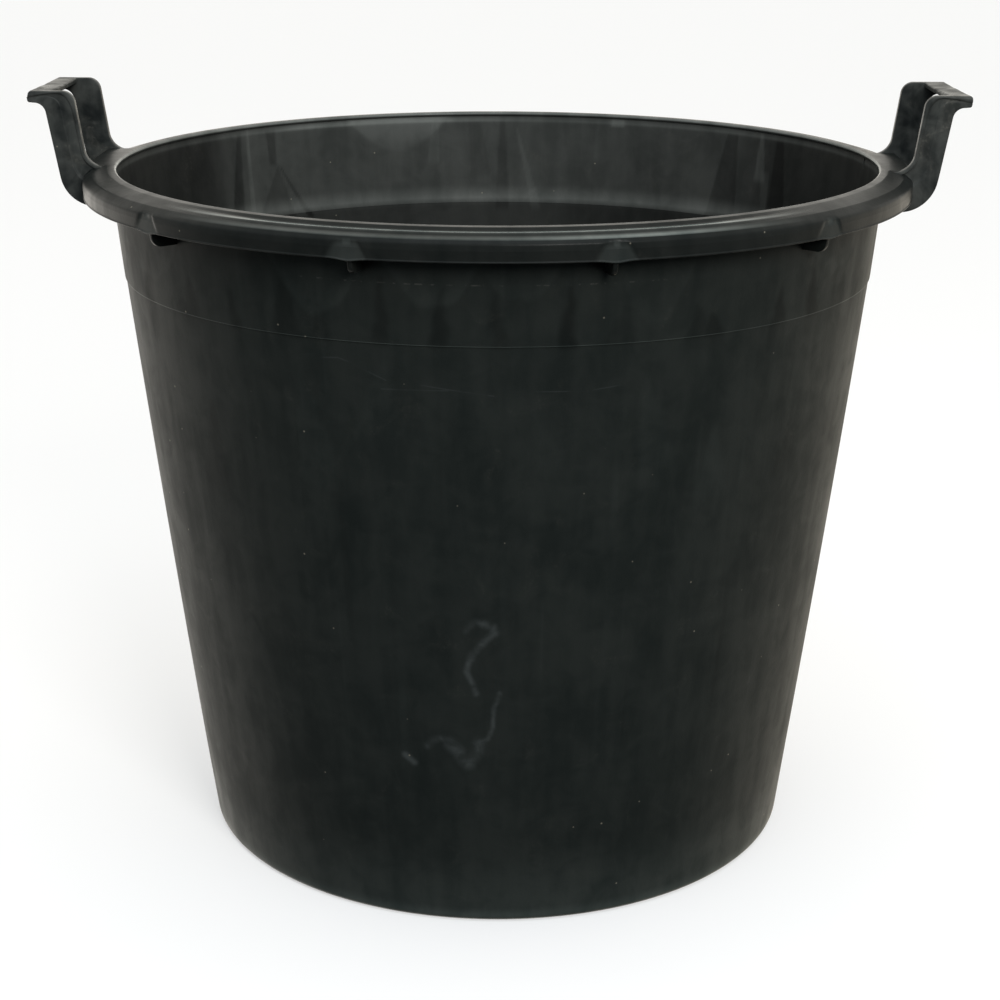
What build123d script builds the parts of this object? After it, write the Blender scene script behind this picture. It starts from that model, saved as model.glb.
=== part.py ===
from build123d import *

import os
from math import cos, radians, sin

# Mortar mixing tub: a round, tapered tub with a rolled rim and two lifting handles that stand
# above it. Millimetres, +Z up. The origin is the centre of the flat base, the handles lie along
# X, and the front is -Y.

# Driving dimensions
RIM_RADIUS = 300.0            # outer face of the skirt
TUB_HEIGHT = 505.0            # base to the crown of the rim
BASE_RADIUS = 223.0
WALL_TOP_RADIUS = 281.0       # outer face of the wall, carried up to the crown
WALL_BOW = 1.4                # how far the wall bulges outward at half height
WALL = 3.5
RING_HEIGHT = 428.0           # step line round the wall
RING_STEP = 0.8               # the band above the line stands out by this much

# Base
FLOOR_THICKNESS = 4.0
FLOOR_LIFT = 3.0              # the floor is raised off the ground inside the base ring
BASE_RING_TOP = 12.0
FOOT_INNER_RADIUS = 205.0
BASE_CORNER = 6.0
INNER_CORNER = 4.0
GATE_RADIUS = 5.0
GATE_HEIGHT = 1.5

# Rim
RIM_THICKNESS = 3.6
MOUTH_RADIUS = 275.6          # inner edge of the crown
CROWN_OUTER_RADIUS = 283.0    # end of the level part of the crown
SLOPE_OUTER_RADIUS = 292.5
SLOPE_DROP = 4.0
SHOULDER_DROP = 9.5           # crown to the top of the upright skirt
SHOULDER_INSET = 1.9          # a point half way round the shoulder, in from the skirt
SHOULDER_FALL = 2.0           # and down from the slope's end
UNDER_INSET = 1.2             # the same for the shoulder's hollow side
UNDER_RISE = 1.4
UNDER_REACH = 1.0             # the hollow side starts this far in from the slope's end
HEM_HEIGHT = 486.5
SKIRT = 3.0

# Gussets under the rim
GUSSET_THICKNESS = 3.2
GUSSET_BOTTOM = 475.0
GUSSET_REACH = 296.0
GUSSET_CORNER = 7.0
GUSSET_PITCH = 31.5           # degrees between neighbours, half of it either side of the middle

# Handles: side outlines are in (distance from the tub's axis, height)
HANDLE_TOP = 557.0
HANDLE_WIDTH = 94.0           # over both legs, along Y
LEG_WEB = 5.5
LEG_ROOT = 255.0              # the outline's inner end, inside the wall, where it is cut away
LEG_BEAD_DEPTH = 1.0
LEG_BEAD_WIDTH = 4.6
GRIP_INNER = 317.4
GRIP_OUTER = 333.6
GRIP_THICKNESS = 3.8
GRIP_LIP = 8.0
GRIP_LIP_THICKNESS = 3.6
GRIP_EDGE_RADIUS = 1.4
GRIP_TIP_RADIUS = 2.0
LEG_KNEE_DISTANCE = 321.9     # where the leg's outer edge meets the arm of the grip
LEG_KNEE_DROP = 8.6
LEG_KNEE_RADIUS = 8.0
LEG_TOE_RADIUS = 25.0         # the outer edge's turn towards the wall
LEG_INNER_TOP = 301.8         # distance of the leg's inner edge at the top
LEG_INNER_RADIUS = 9.0        # the inner edge's turns at its top and at the rim
LEG_NECK_DROP = 1.5           # the inner edge runs into the rim this far below its crown
LEAN_OUT = 0.168              # outward run of each edge for its rise
LEAN_IN = 0.14

leg_outer_face = HANDLE_WIDTH / 2
leg_web_face = leg_outer_face - LEG_BEAD_DEPTH
leg_inner_face = leg_web_face - LEG_WEB
rim_underside = TUB_HEIGHT - RIM_THICKNESS
slope_end = TUB_HEIGHT - SLOPE_DROP
shoulder_height = TUB_HEIGHT - SHOULDER_DROP


def wall_radius(height):
    """Outer radius of the plain bowed wall at a height."""
    part = height / TUB_HEIGHT
    taper = (WALL_TOP_RADIUS - BASE_RADIUS) * part
    return BASE_RADIUS + taper + 4 * WALL_BOW * part * (1 - part)


def wall_arc(low, high, inset=0.0):
    """The bowed wall line between two heights, in the XZ plane."""
    heights = (low, (low + high) / 2, high)
    return ThreePointArc(*[(wall_radius(z) - inset, 0, z) for z in heights])


def path(*points):
    """A run of straight lines through (radius, height) points, in the XZ plane."""
    return Polyline(*[(x, 0, z) for x, z in points])


def revolved(*edges):
    """A solid of revolution about Z from the edges of a closed XZ outline."""
    return revolve(make_face(Curve() + list(edges)), Axis.Z, 360)


def rounded_face(corners):
    """A face in the XZ plane from (x, z, fillet radius) corners."""
    face = make_face(Polyline(*[(x, z) for x, z, _ in corners], close=True))
    for x, z, radius in corners:
        if radius:
            corner = face.vertices().sort_by_distance((x, z, 0))[0]
            face = fillet(corner, radius)
    return face


def upright(face, y_from, y_to):
    """Stand an XZ face up and extrude it between two Y values."""
    return Plane.XZ.offset(-y_from) * extrude(face, -(y_to - y_from))


def tub_floor():
    plate = Pos(0, 0, FLOOR_LIFT) * Cylinder(
        FOOT_INNER_RADIUS, FLOOR_THICKNESS, align=(Align.CENTER, Align.CENTER, Align.MIN)
    )
    gate = Pos(0, 0, FLOOR_LIFT) * Cylinder(
        GATE_RADIUS, GATE_HEIGHT, align=(Align.CENTER, Align.CENTER, Align.MAX)
    )
    return plate + gate


def base_ring():
    floor_top = FLOOR_LIFT + FLOOR_THICKNESS
    corner_start = BASE_RADIUS - BASE_CORNER
    diagonal = BASE_CORNER * (1 - cos(radians(45)))
    corner = ThreePointArc(
        (corner_start, 0, 0),
        (wall_radius(diagonal) - diagonal, 0, diagonal),
        (wall_radius(BASE_CORNER), 0, BASE_CORNER),
    )
    inner_top = floor_top + INNER_CORNER
    inner_wall = wall_radius(inner_top) - WALL
    inner = ThreePointArc(
        (inner_wall, 0, inner_top),
        (inner_wall - diagonal, 0, inner_top - INNER_CORNER * sin(radians(45))),
        (inner_wall - INNER_CORNER, 0, floor_top),
    )
    return revolved(
        path((FOOT_INNER_RADIUS, 0), (corner_start, 0)),
        corner,
        wall_arc(BASE_CORNER, BASE_RING_TOP),
        path((wall_radius(BASE_RING_TOP), BASE_RING_TOP),
             (wall_radius(BASE_RING_TOP) - WALL, BASE_RING_TOP)),
        wall_arc(inner_top, BASE_RING_TOP, WALL),
        inner,
        path((inner_wall - INNER_CORNER, floor_top), (FOOT_INNER_RADIUS, floor_top),
             (FOOT_INNER_RADIUS, 0)),
    )


def lower_wall():
    bottom = wall_radius(BASE_RING_TOP)
    top = wall_radius(RING_HEIGHT)
    return revolved(
        wall_arc(BASE_RING_TOP, RING_HEIGHT),
        path((top, RING_HEIGHT), (top - WALL, RING_HEIGHT)),
        wall_arc(BASE_RING_TOP, RING_HEIGHT, WALL),
        path((bottom - WALL, BASE_RING_TOP), (bottom, BASE_RING_TOP)),
    )


def upper_wall():
    bottom = wall_radius(RING_HEIGHT) + RING_STEP
    top = wall_radius(rim_underside)
    return revolved(
        path((bottom, RING_HEIGHT), (top, rim_underside), (top - WALL, rim_underside),
             (bottom - WALL, RING_HEIGHT), (bottom, RING_HEIGHT)),
    )


def rim_crown():
    """The level crown, its outward slope and the rounded shoulder."""
    shoulder = ThreePointArc(
        (SLOPE_OUTER_RADIUS, 0, slope_end),
        (RIM_RADIUS - SHOULDER_INSET, 0, slope_end - SHOULDER_FALL),
        (RIM_RADIUS, 0, shoulder_height),
    )
    under_end = SLOPE_OUTER_RADIUS - UNDER_REACH
    under = ThreePointArc(
        (RIM_RADIUS - SKIRT, 0, shoulder_height),
        (RIM_RADIUS - SKIRT - UNDER_INSET, 0, shoulder_height + UNDER_RISE),
        (under_end, 0, slope_end - RIM_THICKNESS),
    )
    edge = RIM_THICKNESS / 2
    mouth = ThreePointArc(
        (MOUTH_RADIUS + edge, 0, rim_underside),
        (MOUTH_RADIUS, 0, rim_underside + edge),
        (MOUTH_RADIUS + edge, 0, TUB_HEIGHT),
    )
    return revolved(
        mouth,
        path((MOUTH_RADIUS + edge, TUB_HEIGHT), (CROWN_OUTER_RADIUS, TUB_HEIGHT),
             (SLOPE_OUTER_RADIUS, slope_end)),
        shoulder,
        path((RIM_RADIUS, shoulder_height), (RIM_RADIUS - SKIRT, shoulder_height)),
        under,
        path((under_end, slope_end - RIM_THICKNESS), (CROWN_OUTER_RADIUS, rim_underside),
             (MOUTH_RADIUS + edge, rim_underside)),
    )


def rim_skirt():
    inner = RIM_RADIUS - SKIRT
    return revolved(
        path((inner, HEM_HEIGHT), (RIM_RADIUS, HEM_HEIGHT), (RIM_RADIUS, shoulder_height),
             (inner, shoulder_height), (inner, HEM_HEIGHT)),
    )


def mouth_plug():
    """The tub's inside, with its wall and the level part of the rim, as one plug."""
    bottom = wall_radius(RING_HEIGHT) + RING_STEP
    top = wall_radius(rim_underside)
    return revolved(
        path((0, RING_HEIGHT), (bottom, RING_HEIGHT), (top, rim_underside),
             (CROWN_OUTER_RADIUS, rim_underside), (CROWN_OUTER_RADIUS, TUB_HEIGHT),
             (0, TUB_HEIGHT), (0, RING_HEIGHT)),
    )


def gusset(angle, neighbours):
    """A radial plate that fills the space between wall, rim and skirt, at an angle about Z."""
    in_skirt = RIM_RADIUS - SKIRT / 2
    face = rounded_face([
        (MOUTH_RADIUS, GUSSET_BOTTOM, 0),
        (GUSSET_REACH, GUSSET_BOTTOM, GUSSET_CORNER),
        (GUSSET_REACH, HEM_HEIGHT, 0),
        (in_skirt, HEM_HEIGHT, 0),
        (in_skirt, shoulder_height, 0),
        (SLOPE_OUTER_RADIUS, slope_end - RIM_THICKNESS / 2, 0),
        (CROWN_OUTER_RADIUS, rim_underside + RIM_THICKNESS / 2, 0),
        (MOUTH_RADIUS, rim_underside, 0),
    ])
    plate = upright(face, -GUSSET_THICKNESS / 2, GUSSET_THICKNESS / 2)
    return Rot(0, 0, angle) * plate - neighbours


def leg_outline():
    """Side outline of a handle leg, from the grip down round the rim to the wall."""
    knee = HANDLE_TOP - LEG_KNEE_DROP
    neck = TUB_HEIGHT - LEG_NECK_DROP
    toe = LEG_KNEE_DISTANCE - LEAN_OUT * (knee - GUSSET_BOTTOM)
    inner_foot = LEG_INNER_TOP - LEAN_IN * (HANDLE_TOP - neck)
    return rounded_face([
        (GRIP_OUTER, HANDLE_TOP, GRIP_TIP_RADIUS),
        (GRIP_OUTER, HANDLE_TOP - GRIP_LIP, GRIP_EDGE_RADIUS),
        (LEG_KNEE_DISTANCE, knee, LEG_KNEE_RADIUS),
        (toe, GUSSET_BOTTOM, LEG_TOE_RADIUS),
        (LEG_ROOT, GUSSET_BOTTOM, 0),
        (LEG_ROOT, neck, 0),
        (inner_foot, neck, LEG_INNER_RADIUS),
        (LEG_INNER_TOP, HANDLE_TOP, LEG_INNER_RADIUS),
    ])


def handle_leg(neighbours):
    """The front leg of the right-hand handle, with a bead along its top and inner edge."""
    outline = leg_outline()
    web = upright(outline, -leg_web_face, -leg_inner_face)
    band = outline - Pos(LEG_BEAD_WIDTH, -LEG_BEAD_WIDTH) * outline
    bead = upright(band, -leg_outer_face, -leg_web_face)
    return web + bead - neighbours


def handle_grip():
    """The strap between the legs, with its outer edge turned down."""
    top = HANDLE_TOP
    face = rounded_face([
        (GRIP_INNER, top, GRIP_EDGE_RADIUS),
        (GRIP_OUTER, top, GRIP_TIP_RADIUS),
        (GRIP_OUTER, top - GRIP_LIP, GRIP_EDGE_RADIUS),
        (GRIP_OUTER - GRIP_LIP_THICKNESS, top - GRIP_LIP, GRIP_EDGE_RADIUS),
        (GRIP_OUTER - GRIP_LIP_THICKNESS, top - GRIP_THICKNESS, GRIP_TIP_RADIUS),
        (GRIP_INNER, top - GRIP_THICKNESS, GRIP_EDGE_RADIUS),
    ])
    return upright(face, -leg_inner_face, leg_inner_face)


def build():
    parts = {
        "tub_floor": tub_floor(),
        "base_ring": base_ring(),
        "lower_wall": lower_wall(),
        "upper_wall": upper_wall(),
        "rim_crown": rim_crown(),
        "rim_skirt": rim_skirt(),
    }
    rim = mouth_plug() + parts["rim_crown"] + parts["rim_skirt"]

    gusset_places = {
        "left_outer": -1.5, "left_inner": -0.5, "right_inner": 0.5, "right_outer": 1.5,
    }
    for place, steps in gusset_places.items():
        parts[f"front_{place}_gusset"] = gusset(-90 + steps * GUSSET_PITCH, rim)
        parts[f"rear_{place}_gusset"] = gusset(90 - steps * GUSSET_PITCH, rim)

    leg = handle_leg(rim)
    grip = handle_grip()
    parts["right_handle_front_leg"] = leg
    parts["right_handle_rear_leg"] = mirror(leg, Plane.XZ)
    parts["right_handle_grip"] = grip
    for name in ("front_leg", "rear_leg", "grip"):
        parts[f"left_handle_{name}"] = mirror(parts[f"right_handle_{name}"], Plane.YZ)
    return parts


os.makedirs("parts", exist_ok=True)
for node, shape in build().items():
    export_step(shape, f"parts/{node}.step")
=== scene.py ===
from math import cos, pi, radians, sin

import bpy
import numpy as np
from mathutils import Euler, Matrix, Vector


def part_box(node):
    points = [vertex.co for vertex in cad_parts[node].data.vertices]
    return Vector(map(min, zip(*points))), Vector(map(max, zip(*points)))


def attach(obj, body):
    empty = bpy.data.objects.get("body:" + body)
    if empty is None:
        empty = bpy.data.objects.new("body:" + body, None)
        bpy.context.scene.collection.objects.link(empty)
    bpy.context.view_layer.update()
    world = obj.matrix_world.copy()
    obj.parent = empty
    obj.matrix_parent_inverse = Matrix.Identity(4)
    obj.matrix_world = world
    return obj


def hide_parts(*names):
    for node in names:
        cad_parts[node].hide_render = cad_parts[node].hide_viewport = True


# The looks of a mortar mixing tub: one black moulding, built as one piece for each CAD node.
# Lengths are in millimetres, and angles about +Z start at +X. The front is -Y. Lights, camera and
# floor are in metres.

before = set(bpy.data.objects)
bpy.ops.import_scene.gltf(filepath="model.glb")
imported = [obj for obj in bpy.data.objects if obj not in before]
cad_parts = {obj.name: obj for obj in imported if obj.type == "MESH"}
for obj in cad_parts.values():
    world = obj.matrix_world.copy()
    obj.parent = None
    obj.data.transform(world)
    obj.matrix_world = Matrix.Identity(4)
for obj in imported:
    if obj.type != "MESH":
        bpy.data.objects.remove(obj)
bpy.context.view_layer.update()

MILLIMETRES = 1000.0
SEED = 20

low = {}
high = {}
for node_name in sorted(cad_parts):
    lowest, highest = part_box(node_name)
    low[node_name] = np.array(lowest) * MILLIMETRES
    high[node_name] = np.array(highest) * MILLIMETRES

# Dimensions read from the CAD nodes
RIM_RADIUS = high["rim_skirt"][0]
RIM_TOP = high["rim_crown"][2]
HEM = low["rim_skirt"][2]
RING = low["upper_wall"][2]
SEAM = low["lower_wall"][2]
WALL_END = high["upper_wall"][2]
FLOOR_RADIUS = high["tub_floor"][0]
FLOOR_TOP = high["tub_floor"][2]
GUSSET_BOTTOM = low["front_left_inner_gusset"][2]
HANDLE_TOP = high["right_handle_grip"][2]
GRIP_INNER = low["right_handle_grip"][0]
GRIP_OUTER = high["right_handle_grip"][0]
LEG_OUTER_FACE = high["right_handle_rear_leg"][1]
LEG_INNER_FACE = low["right_handle_rear_leg"][1]

# The wall's outer line is a parabola through the radii of three nodes.
wall_line = np.polyfit(
    [SEAM, RING, WALL_END],
    [high["base_ring"][0], high["lower_wall"][0], high["upper_wall"][0]],
    2,
)

# Dimensions of details
WALL = 3.5
RING_STEP = 0.8
GATE_RADIUS = 5.0
GATE_DEPTH = 1.5
FLOOR_LIFT = 3.0
MOUTH_EDGE = 1.8
CROWN_INNER = 275.6
CROWN_OUTER = 283.0
SKIRT_JOINT = HEM + 6.5
GUSSET_HALF = 1.6
GUSSET_EDGE = 0.6
# Degrees from the front or rear
GUSSET_ANGLES = {"left_outer": -47.25, "left_inner": -15.75, "right_inner": 15.75, "right_outer": 47.25}

rng = np.random.default_rng(SEED)


def wall_radius(z):
    """The radius of the wall's outside at a height."""
    return np.polyval(wall_line, z)


def smooth(low_edge, high_edge, value):
    """0 below one edge, 1 above the other and smooth between them."""
    t = np.clip((value - low_edge) / (high_edge - low_edge), 0.0, 1.0)
    return t * t * (3.0 - 2.0 * t)


# --- Outlines ---

def fillet(before, corner, after, radius, count):
    """Points of the arc that rounds a corner, from one tangent point to the other."""
    before, corner, after = (np.array(p, float) for p in (before, corner, after))
    to_before = (before - corner) / np.linalg.norm(before - corner)
    to_after = (after - corner) / np.linalg.norm(after - corner)
    half = np.arccos(np.clip(to_before @ to_after, -1, 1)) / 2
    middle = (to_before + to_after) / np.linalg.norm(to_before + to_after)
    centre = corner + middle * radius / np.sin(half)
    start = corner + to_before * radius / np.tan(half) - centre
    end = corner + to_after * radius / np.tan(half) - centre
    a0 = np.arctan2(start[1], start[0])
    turn = np.arctan2(start[0] * end[1] - start[1] * end[0], start @ end)
    a = a0 + turn * np.linspace(0, 1, count)
    return centre + radius * np.stack([np.cos(a), np.sin(a)], axis=1)


def run(start, end, spacing):
    """Points of a straight run, without its last one."""
    start, end = np.array(start, float), np.array(end, float)
    count = max(1, int(round(np.linalg.norm(end - start) / spacing)))
    return start + (end - start) * np.linspace(0, 1, count, endpoint=False)[:, None]


def outline(corners, spacing=1e9, arc_step=12.0):
    """Points round a closed outline of (x, z, fillet radius) corners."""
    arcs = []
    for i, (x, z, radius) in enumerate(corners):
        before = np.array(corners[i - 1][:2], float)
        after = np.array(corners[(i + 1) % len(corners)][:2], float)
        here = np.array((x, z), float)
        if radius <= 0:
            arcs.append(here[None])
            continue
        a = (here - before) / np.linalg.norm(here - before)
        b = (after - here) / np.linalg.norm(after - here)
        turn = np.degrees(np.arccos(np.clip(a @ b, -1, 1)))
        arcs.append(fillet(before, here, after, radius, max(4, int(turn / arc_step) + 2)))
    points = []
    for i, arc in enumerate(arcs):
        points.append(arc[:-1])
        following = arcs[(i + 1) % len(arcs)][0]
        points.append(run(arc[-1], following, spacing))
    return np.concatenate(points)


def inset(corners, distance):
    """A closed convex outline's (x, z, radius) corners moved inward."""
    xz = np.array([c[:2] for c in corners], float)
    step = np.roll(xz, -1, axis=0) - xz
    step /= np.linalg.norm(step, axis=1)[:, None]
    area = np.sum(xz[:, 0] * np.roll(xz[:, 1], -1) - np.roll(xz[:, 0], -1) * xz[:, 1])
    inward = np.sign(area) * np.stack([-step[:, 1], step[:, 0]], axis=1)
    moved = []
    for i, (_, _, radius) in enumerate(corners):
        p = xz[i] + inward[i - 1] * distance
        q = xz[i] + inward[i] * distance
        a, b = step[i - 1], step[i]
        t = ((q[0] - p[0]) * b[1] - (q[1] - p[1]) * b[0]) / (a[0] * b[1] - a[1] * b[0])
        moved.append((*(p + a * t), max(radius - distance, 0.05) if radius > 0 else 0.0))
    return moved


# --- Meshes ---

def grid_faces(rows, columns, closed_rows, closed_columns):
    """Quads of a grid of vertices numbered row by row."""
    r = np.arange(rows if closed_rows else rows - 1)
    c = np.arange(columns if closed_columns else columns - 1)
    r, c = (a.ravel() for a in np.meshgrid(r, c, indexing="ij"))
    r1, c1 = (r + 1) % rows, (c + 1) % columns
    return np.stack([r * columns + c, r * columns + c1, r1 * columns + c1, r1 * columns + c], axis=1)


def bar_faces(rows, columns):
    """Quads of a tube of rows, with a face across each end."""
    faces = grid_faces(rows, columns, False, True).tolist()
    faces.append(list(range(columns))[::-1])
    faces.append(list(range((rows - 1) * columns, rows * columns)))
    return faces


def placed(name, data):
    """An object in the scene."""
    obj = bpy.data.objects.new(name, data)
    bpy.context.scene.collection.objects.link(obj)
    return obj


def piece(name, vertices, faces, node, sharp=35.0):
    """A smooth mesh from vertices in millimetres, standing for a CAD node."""
    vertices = np.asarray(vertices, float) / MILLIMETRES
    mesh = bpy.data.meshes.new(name)
    mesh.from_pydata(vertices.tolist(), [], [list(f) for f in faces])
    mesh.update()
    mesh.validate()
    mesh.calc_loop_triangles()
    triangles = np.array([t.vertices for t in mesh.loop_triangles])
    a, b, c = (vertices[triangles[:, i]] for i in range(3))
    if np.sum(a * np.cross(b, c)) < 0:
        mesh.flip_normals()
    mesh.shade_smooth()
    mesh.set_sharp_from_angle(angle=radians(sharp))
    obj = placed(name, mesh)
    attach(obj, "root")
    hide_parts(node)
    return obj


def round_grid(points, segments):
    """Angle, radius and height of each vertex of an outline turned about the axis."""
    angles = np.arange(segments) * 2 * pi / segments
    a, r = np.meshgrid(angles, points[:, 0], indexing="ij")
    return a, r, np.broadcast_to(points[:, 1], a.shape)


def lathe(name, node, points, segments, form):
    """A ring-shaped piece from a closed outline of (radius, height) points."""
    x, y, z = form(*round_grid(points, segments))
    vertices = np.stack([x, y, z], axis=-1).reshape(-1, 3)
    faces = grid_faces(segments, len(points), True, True)
    return piece(name, vertices, faces, node)


# --- How the moulding differs from its plain outline ---

RIPPLES = 14
ripple_turns = rng.integers(2, 11, RIPPLES)
ripple_climb = rng.uniform(-0.012, 0.012, RIPPLES)
ripple_phase = rng.uniform(0, 2 * pi, RIPPLES)
ripple_size = rng.uniform(0.03, 0.07, RIPPLES)
RIPPLES_FULL = 60.0


def unevenness(angle, z):
    """Slow ripples of a thin moulding, as a radial distance."""
    total = np.zeros(np.broadcast(angle, z).shape)
    for turns, climb, phase, size in zip(ripple_turns, ripple_climb, ripple_phase, ripple_size):
        total += size * np.cos(turns * angle + climb * z + phase)
    return total * smooth(0, RIPPLES_FULL, z)


def wall_form(angle, r, z):
    """Places the wall's outline at every angle."""
    r = r + unevenness(angle, z)
    return r * np.cos(angle), r * np.sin(angle), z


GUSSET_COUNT = 8
dip_size = rng.uniform(1.0, 1.6, GUSSET_COUNT)
sink_size = rng.uniform(1.1, 1.7, GUSSET_COUNT)
sink_lean = rng.uniform(-0.12, 0.15, GUSSET_COUNT)


def gusset_offsets(angle):
    """Distance along the rim to the nearest gusset, and that gusset's number."""
    centres = []
    for middle in (-90.0, 90.0):
        for step in GUSSET_ANGLES.values():
            centres.append(radians(middle + step))
    away = (angle[..., None] - np.array(centres) + pi) % (2 * pi) - pi
    nearest = np.argmin(np.abs(away), axis=-1)
    return np.take_along_axis(away, nearest[..., None], -1)[..., 0] * RIM_RADIUS, nearest


# Where a gusset shrinks as it cools, it draws a facet into the skirt, a notch and a dip in the hem.
FACET_TOP = RIM_TOP - 5.0
FACET_HALF_TOP = 5.0
FACET_HALF_HEM = 13.0
FACET_SOFT_EDGE = 2.4
FACET_CRISP_EDGE = 1.2
FACET_START = (RIM_TOP - 10.5, RIM_TOP - 5.5)
FACET_FADE = 0.85
NOTCH_HALF = 2.2
NOTCH_EDGE = 0.4
NOTCH_DEPTH = 0.6
NOTCH_START = (RIM_TOP - 11.5, RIM_TOP - 7.5)
DIP_WIDTH = 7.5
DIP_HEIGHT = 7.0
# Painted highlights where the facets, notches and dips catch the light: how much paler each is
FACET_HIGHLIGHT = 2.6
NOTCH_HIGHLIGHT = 4.5
DIP_HIGHLIGHT = 0.9
# The rim sinks on its outward slope, between these radii.
SLOPE = (CROWN_OUTER + 8, RIM_RADIUS - 3.5)
# The level pad between a handle's legs. It blends out this far inside a leg's faces.
PAD_EDGE = 297.0
PAD_START = 277.0
PAD_BLEND = 0.8
# Outward from here the outline is drawn in to the pad's straight edge.
DRAWN_START = 286.0
DRAWN_WIDTH = 10.0
HANDLE_COSINE = 0.9
# The rim has its side outline where the cosine of the angle is past these.
SIDE = (0.42, 0.74)


def drawn_facets(angle, z):
    """At each point of the rim: depth of the facets, drop of the hem, and the painted highlight on
    them.
    """
    away, nearest = gusset_offsets(angle)
    down = np.clip((FACET_TOP - z) / (FACET_TOP - HEM), 0, 1)
    half = FACET_HALF_TOP + (FACET_HALF_HEM - FACET_HALF_TOP) * down
    leaning = away - sink_lean[nearest] * (RIM_TOP - z)
    facet = smooth(-half - FACET_SOFT_EDGE, -half + FACET_SOFT_EDGE, leaning)
    facet = facet * (1 - smooth(half - FACET_CRISP_EDGE, half + FACET_CRISP_EDGE, leaning))
    below = 1 - smooth(*FACET_START, z)
    notch = 1 - smooth(NOTCH_HALF - NOTCH_EDGE, NOTCH_HALF + NOTCH_EDGE, np.abs(leaning))
    notch = notch * smooth(*NOTCH_START, z)
    depth = below * (sink_size[nearest] * (1 - FACET_FADE * down) * facet + NOTCH_DEPTH * notch)
    dip = dip_size[nearest] * np.exp(-((away / DIP_WIDTH) ** 2))
    dip = dip * (1 - smooth(HEM, HEM + DIP_HEIGHT, z))
    painted_highlight = below * (FACET_HIGHLIGHT * facet * (1 - 0.4 * down) + NOTCH_HIGHLIGHT * notch) + DIP_HIGHLIGHT * dip
    return depth, dip, painted_highlight


def at_side(angle):
    """1 at the left and right, where the rim has its side outline, and 0 at the front and rear."""
    return smooth(*SIDE, np.abs(np.cos(angle)))


def rim_form(angle, r, z, pad_r, pad_z):
    """Places the rim's outline at every angle. The pad outline holds between a handle's legs."""
    depth, dip, _ = drawn_facets(angle, z)
    r = r - smooth(*SLOPE, r) * depth
    z = z - dip
    r = r + unevenness(angle, z)
    sideways = np.abs(r * np.sin(angle))
    between = 1 - smooth(LEG_INNER_FACE + PAD_BLEND, LEG_OUTER_FACE - PAD_BLEND, sideways)
    between = np.where(np.abs(np.cos(angle)) > HANDLE_COSINE, between, 0)
    straight = np.clip((pad_r - PAD_START) / (PAD_EDGE - PAD_START), 0, 1)
    pad_r = pad_r * (1 + straight * (1 / np.maximum(np.abs(np.cos(angle)), HANDLE_COSINE) - 1))
    r = r + (pad_r - r) * between
    z = z + (pad_z - z) * between
    return r * np.cos(angle), r * np.sin(angle), z


# --- The tub ---

WALL_SEGMENTS = 1080
RIM_SEGMENTS = 1440
FLOOR_SEGMENTS = 360
LEDGE = 1.5
LEDGE_FILLET = 7.0
LEDGE_POWER = 2.2
FLOOR_SAG = 0.5

# The tone attribute scales the plastic's colour: 0 leaves it, more is paler and less is darker.
TONE_LOWEST = -1.4
TONE_HIGHEST = 4.5
# Painted highlight along the upper edge of the ring's step
STEP_HIGHLIGHT = 3.5
# Painted highlight on the mouth's rounded edge, with some wear
MOUTH_HIGHLIGHT_AND_WEAR = 4.2
MOUTH_EDGE_HEIGHTS = (RIM_TOP - 2.6, RIM_TOP - 1.6)
# Painted highlight lines round the rim's terraces: radius, half width, how much paler, and the gain
# where a brighter painted glint lies
HIGHLIGHT_LINES = [(289.0, 1.5, 24.0, 0.2), (296.5, 2.2, 5.0, 2.2)]
HIGHLIGHT_LINES_ABOVE = RIM_TOP - 5.8
GLINT_TURN = radians(288.0)
GLINT_HALF = radians(11.0)


def inner_radius(z):
    """The wall's inside. Below the ring it is thicker, with a hollow fillet above that ledge."""
    below = LEDGE * (z <= RING) * smooth(SEAM, RING - 100, z)
    above = LEDGE * np.clip(1 - (z - RING) / LEDGE_FILLET, 0, 1) ** LEDGE_POWER * (z > RING)
    return wall_radius(z) - WALL - below - above


def draws(count, *ranges):
    """Columns of random numbers, each from its own range."""
    return [rng.uniform(least, most, count) for least, most in ranges]


def scattered(count, jitter, *ranges):
    """Rows of an angle and random numbers. The angles are evenly spread, then moved a little."""
    angles = (np.arange(count) + rng.uniform(-jitter, jitter, count)) * 2 * pi / count
    return np.stack([angles, *draws(count, *ranges)], axis=1)


# Flow marks left by the plastic as it filled the mould, scattered round the wall. Flames are dark
# points that stand on the step line, and tongues are dark or pale ones below it: angle, drop from
# the line to the foot, height, half width, lean, darkness
flames = scattered(46, 0.4, (-4, 10), (18, 44), (5, 12), (-8, 10), (0.35, 1.0))
tongues = scattered(34, 0.45, (40, 120), (30, 80), (6, 16), (-16, 16), (-0.5, 0.6))
# Bowls are pale rounded patches that hang above the line: angle, rise, half width, tone
bowls = scattered(18, 0.4, (10, 30), (12, 30), (0.3, 0.8))
# Streaks are upright: angle, half width, tone, start, length
streaks = np.stack(draws(150, (0, 2 * pi), (0.8, 4.0), (-0.35, 0.35), (150, 470), (20, 110)), axis=1)

FLAME_TAPER = 0.8
FLAME_EDGE = (2.6, 3.0)
FLAME_BELOW_RING = 0.3
TONGUE_STRENGTH = 0.7
BOWL_RISE = 14
MARK_STRENGTH = 0.75
# Painted light from the floor, with some dust: how much paler the outside is at the floor, and the
# height where that ends
FOOT_LIGHT_AND_DUST = [(3.0, 13), (1.3, 70)]
# Painted shade in the corner beside each gusset, under the hem: how far it reaches round and down, and
# how dark it is
GUSSET_SHADE_REACH = 20
GUSSET_SHADE_DEPTH = 12
GUSSET_SHADE = 1.4

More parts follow.
